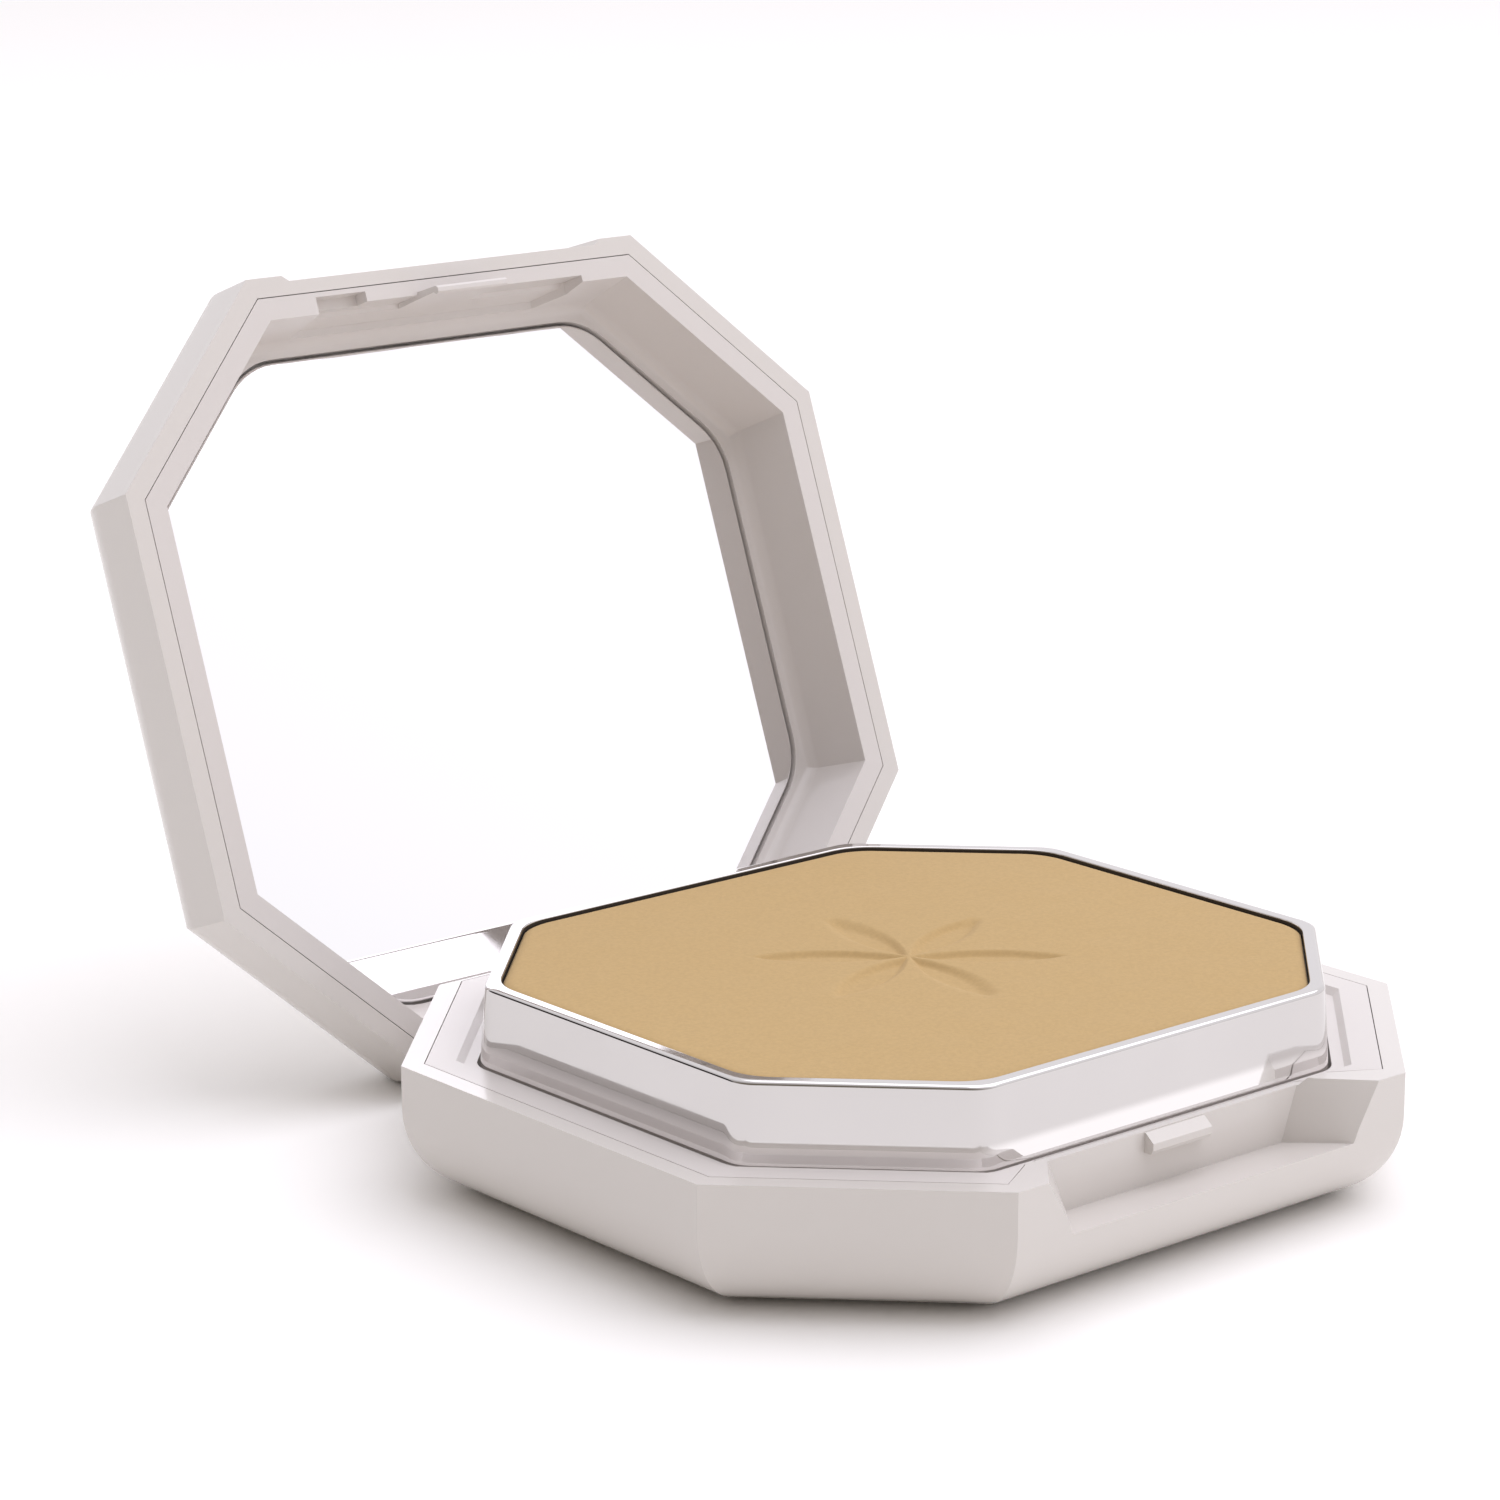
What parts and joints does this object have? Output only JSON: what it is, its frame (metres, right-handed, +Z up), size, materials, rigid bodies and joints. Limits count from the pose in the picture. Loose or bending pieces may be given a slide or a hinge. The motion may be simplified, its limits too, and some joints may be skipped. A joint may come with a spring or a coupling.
{
  "type": "powder compact",
  "caption": "Octagonal powder compact with a hinged mirror lid, a chrome-rimmed tray of pressed powder that lifts out, and a sponge stored beneath it.",
  "frame": {"origin": "centre of the base's outline, on the flat underside that it stands on", "axes": "+X to the right of the person facing the mirror, +Y back towards the hinge, +Z up"},
  "size_m": [0.075, 0.1022, 0.0666],
  "materials": {
    "shell_plastic": "glossy pale lilac-white moulded plastic",
    "liner_plastic": "satin-gloss pale lilac-white moulded plastic",
    "chrome": "mirror-bright vacuum-metallised plastic",
    "tray_plastic": "plain moulded plastic",
    "pan_metal": "drawn sheet, satin",
    "powder": "pressed face powder, matte beige",
    "sponge": "fine latex-free foam",
    "label": "plain paper-faced sticker, unprinted",
    "pin_steel": "plain steel pin",
    "mirror": "silvered glass",
    "adhesive": "double-sided tape and glue"
  },
  "bodies": {
    "base": {"base_shell": "shell_plastic", "base_liner": "liner_plastic", "bottom_label": "label", "hinge_pin": "pin_steel", "sponge": "sponge"},
    "tray": {"tray_ring": "chrome", "tray_frame": "tray_plastic", "pan_adhesive": "adhesive", "powder_pan": "pan_metal", "powder_cake": "powder"},
    "lid": {"lid_shell": "shell_plastic", "lid_liner": "liner_plastic", "mirror_glass": "mirror", "mirror_tape": "adhesive"}
  },
  "joints": [
    {"name": "lid_hinge", "type": "hinge", "parent": "base", "child": "lid", "pos_m": [0, 0.0322, 0.006], "axis": [-1, 0, 0], "range_deg": [-110.6, 0]},
    {"name": "tray_lift", "type": "slide", "parent": "base", "child": "tray", "axis": [0, 0, 1], "range_m": [0, 0.025]}
  ]
}
